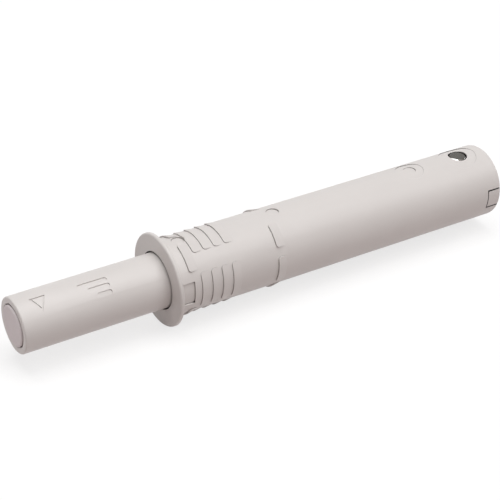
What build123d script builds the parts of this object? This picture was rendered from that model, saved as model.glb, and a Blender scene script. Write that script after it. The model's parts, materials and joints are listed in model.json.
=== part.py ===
from build123d import *
import os
from math import atan2, degrees, hypot

# A push-to-open touch latch for drilling into a cabinet panel, in millimetres and degrees.
# The origin is the centre of the collar's back face, which seats on the panel.
# +X runs along the barrel to its tail, and the plunger sticks out towards -X.
# +Z is the side with the cross-hole. Angles round the barrel start there and grow towards -Y.

# Housing
BARREL_DIAMETER = 9.8
BARREL_LENGTH = 50.0
BARREL_WALL = 0.8
COLLAR_OVERHANG = 1.15
COLLAR_THICKNESS = 0.55
GUIDE_LENGTH = 4.0
GUIDE_LIP = 0.43
FRONT_DRAFT = 0.01
FRONT_ZONE_LENGTH = 15.9
TAIL_ROUND = 0.4
COLLAR_ROUND = 0.25
COLLAR_BACK_CHAMFER = 0.1
ROOT_ROUND = 0.26
MOUTH_CHAMFER = 0.12
KEY_RIB_WIDTH = 1.0
KEY_RIB_HEIGHT = 0.5

# Barbs on the barrel, which bite into the drilled hole
ROW_BARB_PROUD = 0.15
RING_BARB_PROUD = 0.2
BARB_LENGTH = 1.25
BARB_CREST = 0.1
BARB_SINK = 0.3
BARB_CORNER = 0.35
BARB_ROW_START = 3.1
BARB_ROW_PITCH = 1.48
BARB_ROW_COUNT = 4
BARB_ROW_SPANS = [(-31.5, 31.5), (61.5, 121.5), (148.5, 211.5), (238.5, 298.5)]
NEAR_BARB_X = 1.65
NEAR_BARB_SPANS = [(11.5, 56.5), (123.5, 168.5)]
FAR_BARB_X = 14.15
FAR_BARB_SPANS = [(23.5, 60.5), (75.5, 121.5), (136.0, 172.0)]

# Shallow marks that the mould leaves in the barrel
FLANK_RECESS_LENGTH = 2.15
FLANK_RECESS_HALF_ANGLE = 18.5
FLANK_RECESS_DEPTH = 0.22
PIT_DIAMETER = 1.7
PIT_DEPTH = 0.2
TOP_PIT_PLACES = [2.4, 16.15, 37.75]
BOTTOM_PIT_PLACES = [2.4]
DISH_DIAMETER = 3.8
DISH_RIM_DEPTH = 0.045
DISH_HOLLOW = 0.025
DISH_PLACES = [16.15, 37.75]

# Cross-hole and notches in the tail
PIVOT_FROM_TAIL = 4.15
CROSS_HOLE_DISH_WIDTH = 1.25
NOTCH_LENGTH = 2.25
NOTCH_WIDTH = 2.8
NOTCH_DROP = 0.28

# Plunger sleeve and its bumper
PLUNGER_REACH = 19.3
PLUNGER_WALL = 1.1
PLUNGER_END_WALL = 1.2
PLUNGER_TIP_ROUND = 0.2
GAP_TRAVEL = 1.5
BUMPER_RIM = 0.87
BUMPER_SEAT_DEPTH = 1.1
BUMPER_PROUD = 0.2
BUMPER_ROUND = 0.2
STUD_DIAMETER = 1.7
STUD_HEAD_DIAMETER = 2.3
STUD_HEAD_LENGTH = 0.7

# Turning marks sunk into the plunger: an arrowhead outline and three bars of growing length
MARK_DEPTH = 0.12
ARROW_BASE_X = 18.0
ARROW_WIDTH = 2.05
ARROW_HEIGHT = 2.0
ARROW_LINE = 0.2
ARROW_ANGLE = 28.0
BAR_END_X = 8.0
BAR_LENGTHS = [3.9, 2.9, 2.0]
BAR_WIDTH = 0.62
BAR_FIRST_ANGLE = 18.5
BAR_PITCH_ANGLE = 14.3

# Slider with the heart-shaped track
STROKE = 18.5
LATCH_STROKE = 15.9
SLIDER_LENGTH = 20.6
SLIDER_FLAT_DROP = 1.15
STEM_WALL = 0.75
STEM_LENGTH = 16.1
STEM_CHAMFER = 0.4
SPRING_POCKET_REACH = 10.1
SLIDER_CHAMFER = 0.3
LANE_OFFSET = 1.2
LANE_WIDTH = 0.9
LANE_DEPTH = 0.6
FRONT_STEP = 0.15
CLEFT_STEP = 0.15
TRACK_END_WALL = 0.6
ISLAND_NOSE_LENGTH = 1.2

# Follower wire
WIRE_DIAMETER = 0.6
WIRE_BEND = 0.6

# Brake ring between stem and plunger
RING_SECTION = 0.66
RING_SET_BACK = 3.4
RING_CHAMFER = 0.12

# Spring
SPRING_WIRE = 0.4
SPRING_TURNS = 12

# End plug and pivot pin
PLUG_LENGTH = 6.0
SPIGOT_LENGTH = 16.0
PIN_DIAMETER = 2.4
PIN_SET_DOWN = 0.15
PIN_FLOOR = 1.25
PIN_ROUND = 0.3
CORE_DEPTH = 1.6
CORE_INNER_DIAMETER = 3.0
CORE_RIM = 0.85
CORE_HALF_ANGLE = 62.0

# Clearances, each on one side
SLIDE_GAP = 0.1
STOP_GAP = 0.1
SEAT_GAP = 0.05
PRESS_GAP = 0.01
RUNNING_GAP = 0.06
KEY_GAP = 0.22
KEY_FRONT_GAP = 0.13
BUMPER_GAP = 0.1
SPRING_GAP = 0.15
SPIGOT_GAP = 0.2
RING_GAP = 0.03

# Sizes that follow from those above
BARREL_R = BARREL_DIAMETER / 2
FRONT_R = BARREL_R + FRONT_DRAFT
BORE_R = BARREL_R - BARREL_WALL
COLLAR_R = BARREL_R + COLLAR_OVERHANG
GUIDE_R = BORE_R - GUIDE_LIP
PLUNGER_R = GUIDE_R - SLIDE_GAP
PLUNGER_BORE_R = PLUNGER_R - PLUNGER_WALL
STEM_R = PLUNGER_BORE_R - SLIDE_GAP
POCKET_R = STEM_R - STEM_WALL
SPRING_R = POCKET_R - SPRING_GAP
SPIGOT_R = SPRING_R - SPRING_WIRE - SPIGOT_GAP
BUMPER_R = PLUNGER_R - BUMPER_RIM - BUMPER_GAP
PLUG_R = BORE_R - SEAT_GAP
PLUNGER_TIP_X = -COLLAR_THICKNESS - PLUNGER_REACH
SLIDER_START_X = GUIDE_LENGTH + STOP_GAP
SLIDER_END_X = SLIDER_START_X + SLIDER_LENGTH
SLIDER_R = BORE_R - SLIDE_GAP
SLIDER_FLAT_Z = SLIDER_R - SLIDER_FLAT_DROP
PLUNGER_BACK_X = SLIDER_START_X - GAP_TRAVEL - 2 * STOP_GAP
PLUG_FRONT_X = BARREL_LENGTH - PLUG_LENGTH
PIVOT_X = BARREL_LENGTH - PIVOT_FROM_TAIL
TRACK_FRONT_X = SLIDER_START_X + TRACK_END_WALL
TRACK_FLOOR_Z = SLIDER_FLAT_Z - LANE_DEPTH
WIRE_R = WIRE_DIAMETER / 2
FULL_IN_TIP_X = TRACK_FRONT_X + LANE_WIDTH / 2
REST_TIP_X = FULL_IN_TIP_X + STROKE
TRACK_BACK_X = REST_TIP_X + LANE_WIDTH / 2
LATCHED_TIP_X = REST_TIP_X - LATCH_STROKE
ARM_Z = SLIDER_FLAT_Z + WIRE_R + SLIDE_GAP
SPRING_FRONT_X = SLIDER_START_X - SPRING_POCKET_REACH
PIN_R = PIN_DIAMETER / 2
EYE_R = PIN_R + RUNNING_GAP + WIRE_R
CROSS_HOLE_R = PIN_R + SLIDE_GAP
PIN_TOP_Z = BARREL_R - PIN_SET_DOWN
PIN_BOTTOM_Z = -PLUG_R + PIN_FLOOR
RING_X = PLUNGER_BACK_X - RING_SET_BACK
EPS = 0.001


def turned(outline, from_angle=0.0, arc=360.0):
    """Turn an outline of (x, radius) points about the barrel's axis."""
    points = [(x, 0, radius) for x, radius in outline]
    face = make_face(Polyline(*points, close=True))
    return Rot(X=from_angle) * revolve(face, Axis.X, arc)


def ring(x_from, x_to, inner, outer, from_angle=0.0, arc=360.0):
    """A ring, or a sector of one, round the barrel's axis."""
    outline = [(x_from, inner), (x_from, outer), (x_to, outer), (x_to, inner)]
    return turned(outline, from_angle, arc)


def rims(body, x, radius):
    """The circular edges of a turned body at one place along it."""
    circles = body.edges().filter_by(GeomType.CIRCLE)
    return [e for e in circles if abs(e.arc_center.X - x) < EPS and abs(e.radius - radius) < EPS]


def block(x_range, y_range, z_range):
    """A square block between two corners."""
    spans = [b - a for a, b in (x_range, y_range, z_range)]
    middle = [(a + b) / 2 for a, b in (x_range, y_range, z_range)]
    return Pos(*middle) * Box(*spans)


def bar_through(x, radius, z_from, z_to):
    """A round bar along Z that crosses the barrel's axis."""
    return Pos(x, 0, (z_from + z_to) / 2) * Cylinder(radius, z_to - z_from)


def dish(x, radius):
    """What a round patch, a little hollow along the barrel, takes out of the barrel's top."""
    rim = BARREL_R - DISH_RIM_DEPTH
    floor = ThreePointArc((x - radius, 0, rim), (x, 0, rim - DISH_HOLLOW), (x + radius, 0, rim))
    sides = Polyline(floor @ 1, (x + radius, 0, COLLAR_R), (x - radius, 0, COLLAR_R), floor @ 0)
    skin = revolve(make_face([floor, sides]), Axis.X)
    return bar_through(x, radius, 0, COLLAR_R) & skin


def mirrored(spans):
    """Angle spans on the -Y side, and the same ones on the +Y side."""
    return spans + [(-end, -start) for start, end in spans]


def barb(x, span, proud):
    """A wedge with its steep side towards the collar and rounded corners there."""
    crest = FRONT_R + proud
    root = FRONT_R - BARB_SINK
    outline = [
        (x, root),
        (x, crest),
        (x + BARB_CREST, crest),
        (x + BARB_LENGTH, BARREL_R),
        (x + BARB_LENGTH, root),
    ]
    wedge = turned(outline, span[0], span[1] - span[0])
    corners = [
        e
        for e in wedge.edges().filter_by(GeomType.LINE)
        if abs(e.center().X - x) < EPS and abs(e.tangent_at(0.5).X) < EPS
    ]
    return fillet(corners, BARB_CORNER)


def barbs():
    """Four rows of short barbs, a ring of barbs by the collar and one further back."""
    wedges = []
    for row in range(BARB_ROW_COUNT):
        for span in BARB_ROW_SPANS:
            wedges.append(barb(BARB_ROW_START + row * BARB_ROW_PITCH, span, ROW_BARB_PROUD))
    for span in mirrored(NEAR_BARB_SPANS):
        wedges.append(barb(NEAR_BARB_X, span, RING_BARB_PROUD))
    for span in mirrored(FAR_BARB_SPANS):
        wedges.append(barb(FAR_BARB_X, span, RING_BARB_PROUD))
    return wedges


def housing():
    """The barrel with its collar, barbs, guide bore and tail notches, moulded in one."""
    outline = [
        (-COLLAR_THICKNESS, GUIDE_R),
        (-COLLAR_THICKNESS, COLLAR_R),
        (0, COLLAR_R),
        (0, FRONT_R),
        (FRONT_ZONE_LENGTH, BARREL_R),
        (BARREL_LENGTH, BARREL_R),
        (BARREL_LENGTH, BORE_R),
        (GUIDE_LENGTH, BORE_R),
        (GUIDE_LENGTH, GUIDE_R),
    ]
    body = turned(outline)
    body = fillet(rims(body, -COLLAR_THICKNESS, COLLAR_R), COLLAR_ROUND)
    body = chamfer(rims(body, 0, COLLAR_R), COLLAR_BACK_CHAMFER)
    body = fillet(rims(body, 0, FRONT_R), ROOT_ROUND)
    body = fillet(rims(body, BARREL_LENGTH, BARREL_R), TAIL_ROUND)
    body = chamfer(rims(body, BARREL_LENGTH, BORE_R), MOUTH_CHAMFER)
    body = chamfer(rims(body, -COLLAR_THICKNESS, GUIDE_R), MOUTH_CHAMFER)
    body = body + barbs()

    half = KEY_RIB_WIDTH / 2
    rib_top = -BORE_R + KEY_RIB_HEIGHT
    rib_end = PLUG_FRONT_X - STOP_GAP
    body += block((GUIDE_LENGTH - EPS, rib_end), (-half, half), (-BORE_R - BARREL_WALL / 2, rib_top))

    cuts = []
    for side in (90.0, 270.0):
        start = side - FLANK_RECESS_HALF_ANGLE
        floor = FRONT_R - FLANK_RECESS_DEPTH
        cuts.append(ring(0, FLANK_RECESS_LENGTH, floor, COLLAR_R, start, 2 * FLANK_RECESS_HALF_ANGLE))
        outward = -1 if side == 90.0 else 1
        y_range = sorted((outward * BORE_R / 2, outward * COLLAR_R))
        notch_x = (BARREL_LENGTH - NOTCH_LENGTH, BARREL_LENGTH + TAIL_ROUND)
        notch_z = (-NOTCH_DROP - NOTCH_WIDTH / 2, -NOTCH_DROP + NOTCH_WIDTH / 2)
        cuts.append(block(notch_x, y_range, notch_z))
    for x in TOP_PIT_PLACES:
        cuts.append(bar_through(x, PIT_DIAMETER / 2, BARREL_R - PIT_DEPTH, COLLAR_R))
    for x in BOTTOM_PIT_PLACES:
        cuts.append(bar_through(x, PIT_DIAMETER / 2, -COLLAR_R, -BARREL_R + PIT_DEPTH))
    for x in DISH_PLACES:
        cuts.append(dish(x, DISH_DIAMETER / 2))
    cuts.append(dish(PIVOT_X, CROSS_HOLE_R + CROSS_HOLE_DISH_WIDTH))
    cuts.append(bar_through(PIVOT_X, CROSS_HOLE_R, 0, COLLAR_R))
    return body - cuts


def plate_on_plunger(angle, x):
    """A sketch plane that touches the plunger at an angle round it, with its x along the plunger."""
    outward = Vector(0, 0, 1).rotate(Axis.X, angle)
    return Plane(origin=Vector(x, 0, 0) + outward * PLUNGER_R, x_dir=(1, 0, 0), z_dir=outward)


def sunk_mark(plane, sketch):
    """What a mark of constant depth takes out of the plunger's skin."""
    tool = extrude(plane * sketch, PLUNGER_R / 2, both=True)
    reach = PLUNGER_REACH + COLLAR_THICKNESS
    skin = ring(-reach, 0, PLUNGER_R - MARK_DEPTH, PLUNGER_R + MARK_DEPTH)
    return tool & skin


def turning_marks():
    """The arrowhead outline near the tip, and the three bars behind it."""
    marks = []
    half = ARROW_WIDTH / 2
    low = ARROW_HEIGHT / 2
    arrow = make_face(Polyline((-half, low), (half, low), (0, -low), close=True))
    line = arrow - offset(arrow, -ARROW_LINE, kind=Kind.INTERSECTION)
    marks.append(sunk_mark(plate_on_plunger(ARROW_ANGLE, half - ARROW_BASE_X), line))
    for index, length in enumerate(BAR_LENGTHS):
        angle = BAR_FIRST_ANGLE + index * BAR_PITCH_ANGLE
        plane = plate_on_plunger(angle, -BAR_END_X - length / 2)
        marks.append(sunk_mark(plane, SlotOverall(length, BAR_WIDTH)))
    return marks


def plunger_sleeve():
    """The tube that pushes the door, with a seat for the bumper and a groove for the brake ring."""
    seat_x = PLUNGER_TIP_X + BUMPER_SEAT_DEPTH
    wall_x = seat_x + PLUNGER_END_WALL
    seat_r = BUMPER_R + BUMPER_GAP
    stud_r = STUD_DIAMETER / 2 + BUMPER_GAP
    outline = [
        (PLUNGER_TIP_X, seat_r),
        (PLUNGER_TIP_X, PLUNGER_R),
        (PLUNGER_BACK_X, PLUNGER_R),
        (PLUNGER_BACK_X, PLUNGER_BORE_R),
        (wall_x, PLUNGER_BORE_R),
        (wall_x, stud_r),
        (seat_x, stud_r),
        (seat_x, seat_r),
    ]
    body = turned(outline)
    body = fillet(rims(body, PLUNGER_TIP_X, PLUNGER_R), PLUNGER_TIP_ROUND)
    body = chamfer(rims(body, PLUNGER_TIP_X, seat_r), MOUTH_CHAMFER)
    body = chamfer(rims(body, PLUNGER_BACK_X, PLUNGER_R), MOUTH_CHAMFER)
    half = RING_SECTION / 2 + RING_GAP
    groove_r = STEM_R + RING_SECTION + 2 * RING_GAP
    groove = ring(RING_X - half, RING_X + half, PLUNGER_BORE_R - SLIDE_GAP, groove_r)
    return body - [groove] - turning_marks()


def tip_bumper():
    """The soft disc that meets the door, with a mushroom stud that snaps through the end wall."""
    seat_x = PLUNGER_TIP_X + BUMPER_SEAT_DEPTH
    back_x = seat_x + PLUNGER_END_WALL + SEAT_GAP
    face_x = PLUNGER_TIP_X - BUMPER_PROUD
    disc = ring(face_x, seat_x, 0, BUMPER_R)
    disc = fillet(rims(disc, face_x, BUMPER_R), BUMPER_ROUND)
    stud = ring(seat_x, back_x, 0, STUD_DIAMETER / 2)
    head = turned([
        (back_x, 0),
        (back_x, STUD_HEAD_DIAMETER / 2),
        (back_x + STUD_HEAD_LENGTH, STUD_DIAMETER / 2),
        (back_x + STUD_HEAD_LENGTH, 0),
    ])
    return disc + stud + head


def brake_ring():
    """The rubber ring whose grip on the stem keeps the plunger at its set length."""
    half = RING_SECTION / 2
    inner = STEM_R + RING_GAP
    band = ring(RING_X - half, RING_X + half, inner, inner + RING_SECTION)
    return chamfer(rims(band, RING_X - half, inner) + rims(band, RING_X + half, inner), RING_CHAMFER)


def track_plan():
    """The loop that the follower's tip runs in, seen from above: two lanes round a heart island."""
    edge = LANE_OFFSET + LANE_WIDTH / 2
    inner = LANE_OFFSET - LANE_WIDTH / 2
    cusp_base = inner / 2
    cusp_x = TRACK_FRONT_X + LANE_WIDTH * 0.6
    outer = make_face(Polyline(
        (TRACK_FRONT_X, -edge),
        (TRACK_FRONT_X, -cusp_base / 2),
        (cusp_x, cusp_base / 2),
        (TRACK_FRONT_X, cusp_base * 1.5),
        (TRACK_FRONT_X, edge),
        (TRACK_BACK_X, edge),
        (TRACK_BACK_X, -edge),
        close=True,
    ))
    cup = WIRE_R + SLIDE_GAP
    mouth_x = LATCHED_TIP_X - cup / 4
    nose_x = REST_TIP_X - LANE_WIDTH / 2 - ISLAND_NOSE_LENGTH
    nose_back_x = nose_x - ISLAND_NOSE_LENGTH
    cleft = ThreePointArc((mouth_x, cup), (LATCHED_TIP_X + cup, 0), (mouth_x, -cup))
    flank = Polyline(
        (mouth_x, -cup),
        (LATCHED_TIP_X - inner, -inner),
        (nose_back_x, -inner),
        (nose_x, cup),
        (nose_back_x, inner),
        (LATCHED_TIP_X + inner, inner),
        (mouth_x - cup, cup + EPS),
        (mouth_x, cup),
    )
    island = make_face([cleft, flank])
    return outer - island


def heart_track():
    """The sunk track: it steps down past the way in, down again at the cleft, and ramps back up."""
    plan = Pos(0, 0, SLIDER_FLAT_Z) * track_plan()
    inner = LANE_OFFSET - LANE_WIDTH / 2
    edge = LANE_OFFSET + LANE_WIDTH / 2
    step_x = LATCHED_TIP_X - LANE_WIDTH
    deepest = LANE_DEPTH + FRONT_STEP + CLEFT_STEP
    way_in = extrude(plan, -LANE_DEPTH)
    deep = extrude(plan, -deepest)
    front = block(
        (TRACK_FRONT_X, step_x),
        (-edge, edge),
        (TRACK_FLOOR_Z - FRONT_STEP, SLIDER_FLAT_Z),
    )
    ramp_side = make_face(Polyline(
        (step_x, 0, SLIDER_FLAT_Z),
        (step_x, 0, SLIDER_FLAT_Z - deepest),
        (step_x + STROKE / 3, 0, SLIDER_FLAT_Z - deepest),
        (REST_TIP_X - LANE_WIDTH, 0, TRACK_FLOOR_Z),
        (REST_TIP_X - LANE_WIDTH, 0, SLIDER_FLAT_Z),
        close=True,
    ))
    way_out = Pos(0, -inner / 2, 0) * extrude(ramp_side, edge + inner / 2, dir=(0, 1, 0))
    return way_in + (deep & front) + (deep & way_out)


def cam_slider():
    """The slider: a stem that carries the plunger, a spring pocket, and the heart track on its flat."""
    stem_x = SLIDER_START_X - STEM_LENGTH
    outline = [
        (stem_x, 0),
        (stem_x, STEM_R),
        (SLIDER_START_X, STEM_R),
        (SLIDER_START_X, SLIDER_R),
        (SLIDER_END_X, SLIDER_R),
        (SLIDER_END_X, 0),
    ]
    body = turned(outline)
    body = chamfer(rims(body, stem_x, STEM_R), STEM_CHAMFER)
    body = chamfer(rims(body, SLIDER_START_X, SLIDER_R), SLIDER_CHAMFER)
    body = chamfer(rims(body, SLIDER_END_X, SLIDER_R), SLIDER_CHAMFER)
    pocket = ring(SPRING_FRONT_X, SLIDER_END_X, 0, POCKET_R)
    flat = block((SLIDER_START_X, SLIDER_END_X), (-BORE_R, BORE_R), (SLIDER_FLAT_Z, BORE_R))
    half = KEY_RIB_WIDTH / 2 + SLIDE_GAP
    keyway_top = -BORE_R + KEY_RIB_HEIGHT + SLIDE_GAP
    keyway = block((SLIDER_START_X, SLIDER_END_X), (-half, half), (-BORE_R, keyway_top))
    return body - [pocket, flat, keyway] - heart_track()


def cam_follower():
    """The bent wire: an eye round the pivot pin, a long arm, and a tip turned down into the track."""
    pivot = Vector(PIVOT_X, 0, ARM_Z)
    corner = Vector(REST_TIP_X, -LANE_OFFSET, ARM_Z)
    along = (corner - pivot).normalized()
    foot = Vector(REST_TIP_X, -LANE_OFFSET, TRACK_FLOOR_Z + RUNNING_GAP)
    start = pivot + along * EYE_R
    path = FilletPolyline(start, corner, foot, radius=WIRE_BEND)
    section = Plane(origin=start, z_dir=along) * Circle(WIRE_R)
    arm = sweep(section, path)
    eye = Pos(*pivot) * Torus(EYE_R, WIRE_R)
    return arm + eye


def pivot_pin():
    """The steel pin in the cross-hole, which locks the end plug in and carries the follower's eye."""
    pin = bar_through(PIVOT_X, PIN_R, PIN_BOTTOM_Z, PIN_TOP_Z)
    ends = pin.edges().filter_by(GeomType.CIRCLE)
    return fillet(ends, PIN_ROUND)


def ejector_spring():
    """The coil spring that throws the plunger out, ground flat at both ends."""
    length = PLUG_FRONT_X - SPRING_FRONT_X
    pitch = length / SPRING_TURNS
    coil_r = SPRING_R - SPRING_WIRE / 2
    path = Helix(pitch, length + 2 * SPRING_WIRE, coil_r)
    start = Plane(origin=path @ 0, z_dir=path % 0)
    coil = sweep(start * Circle(SPRING_WIRE / 2), path, is_frenet=True)
    coil = Pos(SPRING_FRONT_X - SPRING_WIRE, 0, 0) * Rot(Y=90) * coil
    reach = (-POCKET_R, POCKET_R)
    return coil & block((SPRING_FRONT_X + EPS, PLUG_FRONT_X - EPS), reach, reach)


def end_plug():
    """The plug that closes the tail: spring spigot, slot for the follower's eye, and two keys."""
    spigot_x = PLUG_FRONT_X - SPIGOT_LENGTH
    outline = [
        (spigot_x, 0),
        (spigot_x, SPIGOT_R),
        (PLUG_FRONT_X, SPIGOT_R),
        (PLUG_FRONT_X, PLUG_R),
        (BARREL_LENGTH, PLUG_R),
        (BARREL_LENGTH, 0),
    ]
    body = turned(outline)
    body = chamfer(rims(body, spigot_x, SPIGOT_R), SLIDER_CHAMFER)
    key_half = NOTCH_WIDTH / 2 - KEY_GAP
    key_x = BARREL_LENGTH - NOTCH_LENGTH + KEY_FRONT_GAP
    key_z = (-NOTCH_DROP - key_half, -NOTCH_DROP + key_half)
    band = ring(key_x, BARREL_LENGTH, PLUG_R - SLIDE_GAP, BARREL_R)
    band = fillet(rims(band, BARREL_LENGTH, BARREL_R), TAIL_ROUND)
    body += band & block((key_x, BARREL_LENGTH), (-BARREL_R, BARREL_R), key_z)

    eye_room = EYE_R + WIRE_R + SLIDE_GAP
    slot_floor = ARM_Z - WIRE_R - SLIDE_GAP
    slot = block((PLUG_FRONT_X, PIVOT_X + eye_room), (-BORE_R, BORE_R), (slot_floor, BORE_R))
    pin_hole = bar_through(PIVOT_X, PIN_R + PRESS_GAP, PIN_BOTTOM_Z - SEAT_GAP, BORE_R)
    cores = [
        ring(
            BARREL_LENGTH - CORE_DEPTH,
            BARREL_LENGTH,
            CORE_INNER_DIAMETER / 2,
            PLUG_R - CORE_RIM,
            middle - CORE_HALF_ANGLE,
            2 * CORE_HALF_ANGLE,
        )
        for middle in (0.0, 180.0)
    ]
    return body - [slot, pin_hole] - cores


PIECES = {
    "housing": housing,
    "plunger_sleeve": plunger_sleeve,
    "tip_bumper": tip_bumper,
    "brake_ring": brake_ring,
    "cam_slider": cam_slider,
    "cam_follower": cam_follower,
    "pivot_pin": pivot_pin,
    "ejector_spring": ejector_spring,
    "end_plug": end_plug,
}

os.makedirs("parts", exist_ok=True)
swing = 2 * degrees(atan2(LANE_OFFSET, PIVOT_X - REST_TIP_X))
arm_length = hypot(PIVOT_X - REST_TIP_X, LANE_OFFSET)
print("follower swing", round(swing, 3), "degrees, arm", round(arm_length, 2), "mm")
for name, make in PIECES.items():
    piece = make()
    piece.label = name
    export_step(piece, f"parts/{name}.step")
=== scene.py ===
import json
import math
import bpy
import bmesh
from mathutils import Matrix, Vector


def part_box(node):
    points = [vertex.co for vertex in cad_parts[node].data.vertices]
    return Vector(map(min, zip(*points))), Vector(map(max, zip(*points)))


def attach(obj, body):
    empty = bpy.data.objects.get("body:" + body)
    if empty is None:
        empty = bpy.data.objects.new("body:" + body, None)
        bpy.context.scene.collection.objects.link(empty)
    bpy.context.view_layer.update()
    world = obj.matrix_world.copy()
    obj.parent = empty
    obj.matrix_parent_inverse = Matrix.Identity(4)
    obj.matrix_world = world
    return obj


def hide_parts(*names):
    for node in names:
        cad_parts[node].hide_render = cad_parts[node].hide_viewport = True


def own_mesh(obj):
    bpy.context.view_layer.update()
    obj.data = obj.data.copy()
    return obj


# A push-to-open touch latch lying on a pale floor, in metres.
# +X runs along the barrel to its tail, and the plunger sticks out towards -X.
# +Z is the side with the cross-hole. Angles round the barrel start there and grow towards -Y.
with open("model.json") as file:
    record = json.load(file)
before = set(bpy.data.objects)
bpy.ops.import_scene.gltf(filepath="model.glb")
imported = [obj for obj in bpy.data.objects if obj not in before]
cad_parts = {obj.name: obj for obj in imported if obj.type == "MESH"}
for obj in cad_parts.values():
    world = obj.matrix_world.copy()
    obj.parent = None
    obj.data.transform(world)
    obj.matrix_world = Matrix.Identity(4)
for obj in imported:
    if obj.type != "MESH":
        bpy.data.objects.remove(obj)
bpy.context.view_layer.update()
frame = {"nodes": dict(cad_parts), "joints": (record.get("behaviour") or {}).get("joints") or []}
nodes = frame["nodes"]

MM = 0.001

# Places that the frame gives
FLOOR_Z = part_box("housing")[0].z
SPRING_LOW, SPRING_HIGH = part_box("ejector_spring")
PIN_LOW, PIN_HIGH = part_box("pivot_pin")
PIN_MIDDLE = (PIN_LOW + PIN_HIGH) / 2
PIN_R = (PIN_HIGH.x - PIN_LOW.x) / 2
SLIDE = next(joint for joint in frame["joints"] if joint["name"] == "plunger_slide")
SPRING_SEAT_X = SLIDE["deforming_nodes"][0]["fixed_end_x_m"]

# Camera, fitted to the outline in the photograph
LOOK_AT = Vector((12.937, 0.046, 0.121)) * MM
CAMERA_DISTANCE = 195.3 * MM
CAMERA_AZIMUTH = -32.24
CAMERA_ELEVATION = 31.95
CAMERA_ROLL = 0.93
SENSOR_WIDTH = 36.0
LENS = 110.46
CLIP_NEAR = 0.005
CLIP_FAR = 20

# Soft boxes: angle round the barrel, tilt towards the tail, and how bright each makes a white face
LAMP_DISTANCE = 1.2
LAMP_SIZE = 0.8
LAMPS = {
    "overhead": (0, 0, 0.545),
    "front": (30, 18, 0.33),
    "behind": (-60, -50, 0.1),
}
SURROUND_TONE = (0.25, 0.233, 0.23)

# Floor: what it passes on to the object, and what the camera sees of it
FLOOR_SIZE = 4.0
FLOOR_ROUGHNESS = 0.9
FLOOR_BOUNCE_TONE = (0.57, 0.505, 0.495)
FLOOR_SEEN_TONE = (0.3, 0.3, 0.3)
FLOOR_SEEN_GLOW = 0.73

# Moulded finish: the noise's own roughness, how the slow tone is made up, and which part of it shows
NOISE_ROUGHNESS = 0.55
DRIFT_SHARE = 0.6
STREAK_SHARE = 0.4
STREAK_STRETCH = (0.25, 3, 3)
TONE_RANGE = (0.3, 0.7)

# Nearness masks: whether each looks into the solid, and the open share that leaves it bare or full.
# Step and Gap paint shade at the feet of steps and in narrow gaps; Edge lightens outer edges, partly
# as wear and partly as a painted highlight.
NEARNESS_SAMPLES = 12
NEARNESS_KINDS = {
    "Step": (False, 0.7, 0.25),
    "Gap": (False, 0.62, 0.42),
    "Edge": (True, 0.9, 0.3),
}

# Steel: how far its lines change the shine, and how deep they are
STEEL_SHINE_SPREAD = 0.16
STEEL_BUMP_STRENGTH = 0.6
STEEL_LINE_DEPTH = 0.01 * MM

# Coil spring, with a closed turn at each end
SPRING_ACTIVE_TURNS = 12
SPRING_END_TURNS = 1
SPRING_WIRE = 0.4 * MM
SPRING_STEPS = 40
SPRING_SIDES = 12

# Cross pin: which way each painted glint, a bright patch on its rim, lies from its axis, and how far
# in it reaches
PAINTED_GLINT_SIDES = [
    ((-0.88, -0.47, 0), 0.24 * MM),
    ((0.62, -0.78, 0), 0.12 * MM),
]


def material(name):
    """A new node material with its Principled shader and node tree."""
    made = bpy.data.materials.new(name)
    made.use_nodes = True
    tree = made.node_tree
    return made, tree, tree.nodes["Principled BSDF"]


def add_node(tree, kind, **settings):
    """A shader node with its properties set."""
    node = tree.nodes.new(kind)
    for key, value in settings.items():
        setattr(node, key, value)
    return node


def set_inputs(node, **values):
    """Set input sockets by name; an underscore in a key stands for a space."""
    for key, value in values.items():
        node.inputs[key.replace("_", " ")].default_value = value


def calculate(tree, operation, first, second=0.0, third=0.0, clamp=False):
    """A math node whose inputs are sockets or plain numbers; gives its output socket."""
    node = add_node(tree, "ShaderNodeMath", operation=operation, use_clamp=clamp)
    for place, value in enumerate((first, second, third)):
        if isinstance(value, (int, float)):
            node.inputs[place].default_value = value
        else:
            tree.links.new(value, node.inputs[place])
    return node.outputs[0]


def mixed(tree, share, first, second):
    """A colour between two, by a share from 0 to 1; each is a socket or a plain colour."""
    node = add_node(tree, "ShaderNodeMix", data_type="RGBA")
    tree.links.new(share, node.inputs["Factor"])
    for place, value in ((6, first), (7, second)):
        if isinstance(value, tuple):
            node.inputs[place].default_value = (*value, 1)
        else:
            tree.links.new(value, node.inputs[place])
    return node.outputs[2]


def new_group(name, inputs, outputs):
    """A node group with named sockets; gives its tree, its input node and its output node."""
    tree = bpy.data.node_groups.new(name, "ShaderNodeTree")
    for title, kind, value in inputs:
        socket = tree.interface.new_socket(name=title, in_out="INPUT", socket_type=kind)
        socket.default_value = value
    for title, kind in outputs:
        tree.interface.new_socket(name=title, in_out="OUTPUT", socket_type=kind)
    return tree, add_node(tree, "NodeGroupInput"), add_node(tree, "NodeGroupOutput")


def noise_of_size(tree, place, size, stretch=(1, 1, 1), detail=3.0):
    """Noise whose features are as large as a size socket says; gives its value socket."""
    drawn = add_node(tree, "ShaderNodeMapping")
    set_inputs(drawn, Scale=stretch)
    noise = add_node(tree, "ShaderNodeTexNoise")
    set_inputs(noise, Detail=detail, Roughness=NOISE_ROUGHNESS)
    tree.links.new(place, drawn.inputs["Vector"])
    tree.links.new(drawn.outputs["Vector"], noise.inputs["Vector"])
    tree.links.new(calculate(tree, "DIVIDE", 1.0, size), noise.inputs["Scale"])
    return noise.outputs["Fac"]


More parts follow.
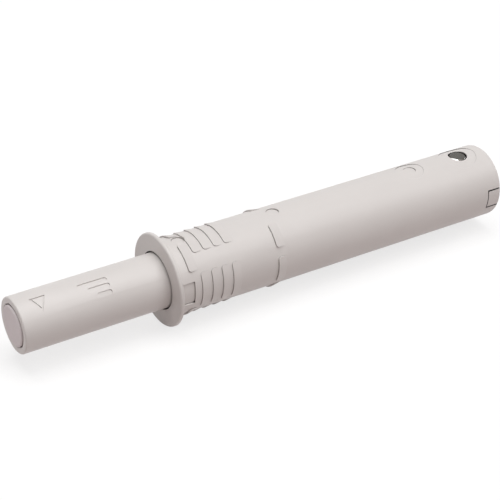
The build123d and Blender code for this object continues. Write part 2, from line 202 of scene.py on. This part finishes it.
def mould_finish_group():
    """Satin moulded skin: fine spark grain, slow tone drift, and faint flow streaks along the draw."""
    tree, inside, out = new_group(
        "mould_finish",
        [
            ("Grain Size", "NodeSocketFloat", 0.12 * MM),
            ("Drift Size", "NodeSocketFloat", 6 * MM),
            ("Light Tone", "NodeSocketColor", (0.7, 0.7, 0.7, 1)),
            ("Dark Tone", "NodeSocketColor", (0.6, 0.6, 0.6, 1)),
            ("Roughness", "NodeSocketFloat", 0.45),
            ("Roughness Spread", "NodeSocketFloat", 0.06),
        ],
        [
            ("Color", "NodeSocketColor"),
            ("Roughness", "NodeSocketFloat"),
            ("Height", "NodeSocketFloat"),
        ],
    )
    place = add_node(tree, "ShaderNodeTexCoord").outputs["Object"]
    drift_size = inside.outputs["Drift Size"]
    grain = noise_of_size(tree, place, inside.outputs["Grain Size"])
    drift = noise_of_size(tree, place, drift_size)
    streaks = noise_of_size(tree, place, drift_size, stretch=STREAK_STRETCH, detail=1.0)
    drifted = calculate(tree, "MULTIPLY", drift, DRIFT_SHARE)
    share = calculate(tree, "MULTIPLY_ADD", streaks, STREAK_SHARE, drifted)
    spread = add_node(tree, "ShaderNodeMapRange")
    set_inputs(spread, From_Min=TONE_RANGE[0], From_Max=TONE_RANGE[1])
    tree.links.new(share, spread.inputs["Value"])
    tones = inside.outputs["Dark Tone"], inside.outputs["Light Tone"]
    tone = mixed(tree, spread.outputs["Result"], *tones)
    shine = calculate(
        tree,
        "MULTIPLY_ADD",
        calculate(tree, "SUBTRACT", grain, 0.5),
        inside.outputs["Roughness Spread"],
        inside.outputs["Roughness"],
    )
    tree.links.new(tone, out.inputs["Color"])
    tree.links.new(shine, out.inputs["Roughness"])
    tree.links.new(grain, out.inputs["Height"])
    return tree


def nearness_group():
    """Masks from nearby surfaces: painted shade at the feet of steps and in deep narrow gaps, and
    outer edges made lighter, partly as wear and partly as a painted highlight.
    """
    tree, inside, out = new_group(
        "nearness",
        [
            ("Step Reach", "NodeSocketFloat", 0.16 * MM),
            ("Gap Reach", "NodeSocketFloat", 0.5 * MM),
            ("Edge Reach", "NodeSocketFloat", 0.08 * MM),
        ],
        [(title, "NodeSocketFloat") for title in NEARNESS_KINDS],
    )
    for title, (within, bare, full) in NEARNESS_KINDS.items():
        open_sky = add_node(
            tree,
            "ShaderNodeAmbientOcclusion",
            samples=NEARNESS_SAMPLES,
            inside=within,
            only_local=within,
        )
        tree.links.new(inside.outputs[f"{title} Reach"], open_sky.inputs["Distance"])
        mask = add_node(tree, "ShaderNodeMapRange", interpolation_type="SMOOTHSTEP")
        set_inputs(mask, From_Min=bare, From_Max=full)
        tree.links.new(open_sky.outputs["AO"], mask.inputs["Value"])
        tree.links.new(mask.outputs["Result"], out.inputs[title])
    return tree


def moulded(name, light, dark, roughness, grain_height, step_painted_shade, gap_painted_shade, edge_wear_and_highlight):
    """A moulded plastic or rubber from the shared groups, with its own tones, shine and grain, painted
    shade at the feet of steps and in gaps, and lighter edges that are partly wear and partly painted
    highlight.
    """
    made, tree, shader = material(name)
    finish = add_node(tree, "ShaderNodeGroup", node_tree=mould_finish)
    set_inputs(finish, Light_Tone=(*light, 1), Dark_Tone=(*dark, 1), Roughness=roughness)
    near = add_node(tree, "ShaderNodeGroup", node_tree=nearness)
    # Outer edges lighter: partly wear, partly painted highlight. Then painted shade: darker at the
    # feet of steps and darkest in narrow gaps.
    worn_and_highlit = mixed(tree, near.outputs["Edge"], finish.outputs["Color"], edge_wear_and_highlight)
    step_shaded = mixed(tree, near.outputs["Step"], worn_and_highlit, step_painted_shade)
    tone = mixed(tree, near.outputs["Gap"], step_shaded, gap_painted_shade)
    bump = add_node(tree, "ShaderNodeBump")
    set_inputs(bump, Strength=1.0, Distance=grain_height)
    tree.links.new(tone, shader.inputs["Base Color"])
    tree.links.new(finish.outputs["Roughness"], shader.inputs["Roughness"])
    tree.links.new(finish.outputs["Height"], bump.inputs["Height"])
    tree.links.new(bump.outputs["Normal"], shader.inputs["Normal"])
    return made


def steel_surface(tree, shader, lines, tone, roughness):
    """Make a shader steel, with a line pattern and a tone; roughness is the mean over the lines."""
    smoothest = roughness - STEEL_SHINE_SPREAD / 2
    shine = calculate(tree, "MULTIPLY_ADD", lines, STEEL_SHINE_SPREAD, smoothest)
    bump = add_node(tree, "ShaderNodeBump")
    set_inputs(shader, Metallic=1.0)
    set_inputs(bump, Strength=STEEL_BUMP_STRENGTH, Distance=STEEL_LINE_DEPTH)
    tree.links.new(lines, bump.inputs["Height"])
    tree.links.new(tone, shader.inputs["Base Color"])
    tree.links.new(shine, shader.inputs["Roughness"])
    tree.links.new(bump.outputs["Normal"], shader.inputs["Normal"])


def drawn_steel(name, light, dark, roughness, line_size):
    """Drawn steel wire: fine marks in its tone, shine and surface."""
    made, tree, shader = material(name)
    place = add_node(tree, "ShaderNodeTexCoord").outputs["Object"]
    lines = noise_of_size(tree, place, line_size, detail=4.0)
    steel_surface(tree, shader, lines, mixed(tree, lines, dark, light), roughness)
    return made


def turned_pin(name, light, dark, glint_painted_tone, roughness, line_size):
    """A dark-toned steel pin: fine turning rings on its ends, and painted glints as bright patches at
    its rim.
    """
    made, tree, shader = material(name)
    place = add_node(tree, "ShaderNodeTexCoord").outputs["Object"]
    # From the pin's axis, and flat along it
    centred = add_node(tree, "ShaderNodeMapping")
    set_inputs(centred, Location=(-PIN_MIDDLE.x, -PIN_MIDDLE.y, 0), Scale=(1, 1, 0))
    tree.links.new(place, centred.inputs["Vector"])
    out_from_axis = add_node(tree, "ShaderNodeVectorMath", operation="LENGTH")
    tree.links.new(centred.outputs["Vector"], out_from_axis.inputs[0])
    radius = out_from_axis.outputs["Value"]
    # Half rings and half cloud
    cloud = noise_of_size(tree, place, line_size, detail=4.0)
    wobble = calculate(tree, "MULTIPLY_ADD", cloud, line_size / 2, radius)
    rings = calculate(tree, "PINGPONG", wobble, line_size)
    half_cloud = calculate(tree, "MULTIPLY", cloud, 0.5)
    lines = calculate(tree, "MULTIPLY_ADD", rings, 0.5 / line_size, half_cloud)
    tone = mixed(tree, lines, dark, light)
    # Painted highlight: bright patches on set sides of the rim, standing in for glints.
    for side, width in PAINTED_GLINT_SIDES:
        facing = add_node(tree, "ShaderNodeVectorMath", operation="DOT_PRODUCT")
        tree.links.new(centred.outputs["Vector"], facing.inputs[0])
        facing.inputs[1].default_value = side
        ragged = calculate(tree, "MULTIPLY_ADD", cloud, line_size, facing.outputs["Value"])
        painted_glint = add_node(tree, "ShaderNodeMapRange", interpolation_type="SMOOTHSTEP")
        set_inputs(painted_glint, From_Min=PIN_R - width, From_Max=PIN_R - width + line_size / 2)
        tree.links.new(ragged, painted_glint.inputs["Value"])
        tone = mixed(tree, painted_glint.outputs["Result"], tone, glint_painted_tone)
    steel_surface(tree, shader, lines, tone, roughness)
    return made


def give(node_name, made):
    """Give a carried-over node its material."""
    slots = nodes[node_name].data.materials
    slots.clear()
    slots.append(made)


def wire_rise(turn, open_rise):
    """How far along the spring the wire is after so many turns: closed, then open, then closed."""
    opened = min(max(turn - SPRING_END_TURNS, 0), SPRING_ACTIVE_TURNS)
    return (turn - opened) * SPRING_WIRE + opened / SPRING_ACTIVE_TURNS * open_rise


def coil_spring(made):
    """The ejector spring: open coils, a closed turn at each end, both ends ground flat."""
    x_front = SPRING_LOW.x
    x_back = SPRING_SEAT_X
    coil_r = SPRING_HIGH.y - SPRING_WIRE / 2
    open_rise = (x_back - x_front) - 2 * SPRING_WIRE * SPRING_END_TURNS
    mesh = bmesh.new()
    rings = []
    for step in range((SPRING_ACTIVE_TURNS + 2 * SPRING_END_TURNS) * SPRING_STEPS + 1):
        turn = step / SPRING_STEPS
        angle = 2 * math.pi * turn
        outward = Vector((0, math.sin(angle), math.cos(angle)))
        centre = Vector((x_front + wire_rise(turn, open_rise), 0, 0)) + outward * coil_r
        verts = []
        for side in range(SPRING_SIDES):
            around = 2 * math.pi * side / SPRING_SIDES
            reach = outward * math.cos(around) + Vector((math.sin(around), 0, 0))
            point = centre + reach * SPRING_WIRE / 2
            point.x = min(max(point.x, x_front), x_back)
            verts.append(mesh.verts.new(point))
        rings.append(verts)
    for before, after in zip(rings, rings[1:]):
        for side in range(SPRING_SIDES):
            following = (side + 1) % SPRING_SIDES
            mesh.faces.new((before[side], before[following], after[following], after[side]))
    mesh.faces.new(rings[0][::-1])
    mesh.faces.new(rings[-1])
    bmesh.ops.recalc_face_normals(mesh, faces=mesh.faces)
    data = bpy.data.meshes.new("ejector_coil")
    mesh.to_mesh(data)
    mesh.free()
    data.materials.append(made)
    for face in data.polygons:
        face.use_smooth = True
    spring = bpy.data.objects.new("ejector_coil", data)
    bpy.context.scene.collection.objects.link(spring)
    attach(spring, "housing")
    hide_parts("ejector_spring")
    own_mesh(spring)


def seen_directly(tree):
    """1 for camera, glossy and transmission rays, and 0 for the light that surfaces pass on."""
    path = add_node(tree, "ShaderNodeLightPath").outputs
    mirrored = calculate(tree, "ADD", path["Is Glossy Ray"], path["Is Transmission Ray"])
    return calculate(tree, "ADD", path["Is Camera Ray"], mirrored, clamp=True)


def floor():
    """A plain pale floor that keeps the object's soft shadow, and shows white to camera and gloss."""
    mesh = bmesh.new()
    bmesh.ops.create_grid(mesh, x_segments=1, y_segments=1, size=FLOOR_SIZE / 2)
    data = bpy.data.meshes.new("floor")
    mesh.to_mesh(data)
    mesh.free()
    made, tree, shader = material("pale_floor")
    set_inputs(shader, Roughness=FLOOR_ROUGHNESS, Specular_IOR_Level=0.0, Emission_Color=(1, 1, 1, 1))
    seen = seen_directly(tree)
    tone = mixed(tree, seen, FLOOR_BOUNCE_TONE, FLOOR_SEEN_TONE)
    tree.links.new(tone, shader.inputs["Base Color"])
    glow = calculate(tree, "MULTIPLY", seen, FLOOR_SEEN_GLOW)
    tree.links.new(glow, shader.inputs["Emission Strength"])
    data.materials.append(made)
    ground = bpy.data.objects.new("floor", data)
    ground.location = (0, 0, FLOOR_Z)
    bpy.context.scene.collection.objects.link(ground)


def surround():
    """An even surround that lights the object a little, and is white behind it."""
    world = bpy.data.worlds.new("surround")
    bpy.context.scene.world = world
    world.use_nodes = True
    tree = world.node_tree
    back = tree.nodes["Background"]
    tone = mixed(tree, seen_directly(tree), SURROUND_TONE, (1.0, 1.0, 1.0))
    tree.links.new(tone, back.inputs["Color"])


def softbox(name, round_barrel, towards_tail, level):
    """A square soft light aimed at the object; level is how bright it makes a white matt face."""
    around, tilt = math.radians(round_barrel), math.radians(towards_tail)
    direction = Vector((
        math.sin(tilt),
        -math.sin(around) * math.cos(tilt),
        math.cos(around) * math.cos(tilt),
    ))
    data = bpy.data.lights.new(name, "AREA")
    data.shape = "SQUARE"
    data.size = LAMP_SIZE
    data.energy = level * math.pi ** 2 * LAMP_DISTANCE ** 2
    lamp = bpy.data.objects.new(name, data)
    lamp.location = LOOK_AT + direction * LAMP_DISTANCE
    lamp.rotation_euler = direction.to_track_quat("Z", "Y").to_euler()
    bpy.context.scene.collection.objects.link(lamp)


def camera():
    """The camera at the photograph's viewing angle."""
    azimuth = math.radians(CAMERA_AZIMUTH)
    elevation = math.radians(CAMERA_ELEVATION)
    roll = math.radians(CAMERA_ROLL)
    back = Vector((
        math.sin(azimuth) * math.cos(elevation),
        -math.cos(azimuth) * math.cos(elevation),
        math.sin(elevation),
    ))
    right = (-back).cross(Vector((0, 0, 1))).normalized()
    up = right.cross(-back)
    x_axis = right * math.cos(roll) + up * math.sin(roll)
    y_axis = up * math.cos(roll) - right * math.sin(roll)
    data = bpy.data.cameras.new("camera")
    data.sensor_width = SENSOR_WIDTH
    data.lens = LENS
    data.clip_start = CLIP_NEAR
    data.clip_end = CLIP_FAR
    viewer = bpy.data.objects.new("camera", data)
    turn = Matrix((x_axis, y_axis, back)).transposed().to_4x4()
    viewer.matrix_world = Matrix.Translation(LOOK_AT + back * CAMERA_DISTANCE) @ turn
    bpy.context.scene.collection.objects.link(viewer)
    bpy.context.scene.camera = viewer


mould_finish = mould_finish_group()
nearness = nearness_group()
# In each material the step and gap tones are painted shade at the feet of steps and in narrow gaps;
# the edge tone lightens outer edges, partly as wear and partly as painted highlight.
grey = moulded(
    "grey_plastic",
    light=(0.72, 0.69, 0.67),
    dark=(0.69, 0.66, 0.64),
    roughness=0.42,
    grain_height=0.003 * MM,
    step_painted_shade=(0.13, 0.105, 0.1),
    gap_painted_shade=(0.02, 0.014, 0.012),
    edge_wear_and_highlight=(0.76, 0.73, 0.72),
)
plunger_grey = moulded(
    "plunger_plastic",
    light=(0.73, 0.7, 0.68),
    dark=(0.7, 0.67, 0.65),
    roughness=0.38,
    grain_height=0.002 * MM,
    step_painted_shade=(0.66, 0.63, 0.61),
    gap_painted_shade=(0.6, 0.57, 0.55),
    edge_wear_and_highlight=(0.77, 0.74, 0.73),
)
soft_grey = moulded(
    "bumper_rubber",
    light=(0.79, 0.735, 0.745),
    dark=(0.76, 0.705, 0.715),
    roughness=0.6,
    grain_height=0.004 * MM,
    step_painted_shade=(0.5, 0.46, 0.45),
    gap_painted_shade=(0.5, 0.46, 0.45),
    edge_wear_and_highlight=(0.9, 0.86, 0.86),
)
inner_white = moulded(
    "inner_plastic",
    light=(0.8, 0.79, 0.76),
    dark=(0.75, 0.74, 0.7),
    roughness=0.35,
    grain_height=0.002 * MM,
    step_painted_shade=(0.5, 0.48, 0.44),
    gap_painted_shade=(0.35, 0.33, 0.3),
    edge_wear_and_highlight=(0.84, 0.83, 0.81),
)
brake_black = moulded(
    "brake_rubber",
    light=(0.035, 0.035, 0.035),
    dark=(0.02, 0.02, 0.02),
    roughness=0.6,
    grain_height=0.005 * MM,
    step_painted_shade=(0.012, 0.012, 0.012),
    gap_painted_shade=(0.008, 0.008, 0.008),
    edge_wear_and_highlight=(0.06, 0.06, 0.06),
)
spring_steel = drawn_steel(
    "spring_steel",
    light=(0.62, 0.61, 0.6),
    dark=(0.48, 0.47, 0.46),
    roughness=0.28,
    line_size=0.1 * MM,
)
pin_steel = turned_pin(
    "pin_steel",
    light=(0.14, 0.13, 0.118),
    dark=(0.075, 0.07, 0.063),
    glint_painted_tone=(0.9, 0.89, 0.87),
    roughness=0.25,
    line_size=0.1 * MM,
)

give("housing", grey)
give("end_plug", grey)
give("plunger_sleeve", plunger_grey)
give("tip_bumper", soft_grey)
give("cam_slider", inner_white)
give("brake_ring", brake_black)
give("cam_follower", spring_steel)
give("ejector_spring", spring_steel)
give("pivot_pin", pin_steel)
coil_spring(spring_steel)

floor()
surround()
for lamp_name, (round_barrel, towards_tail, level) in LAMPS.items():
    softbox(lamp_name, round_barrel, towards_tail, level)
camera()
bpy.context.scene.view_settings.view_transform = "Standard"

bpy.context.view_layer.update()
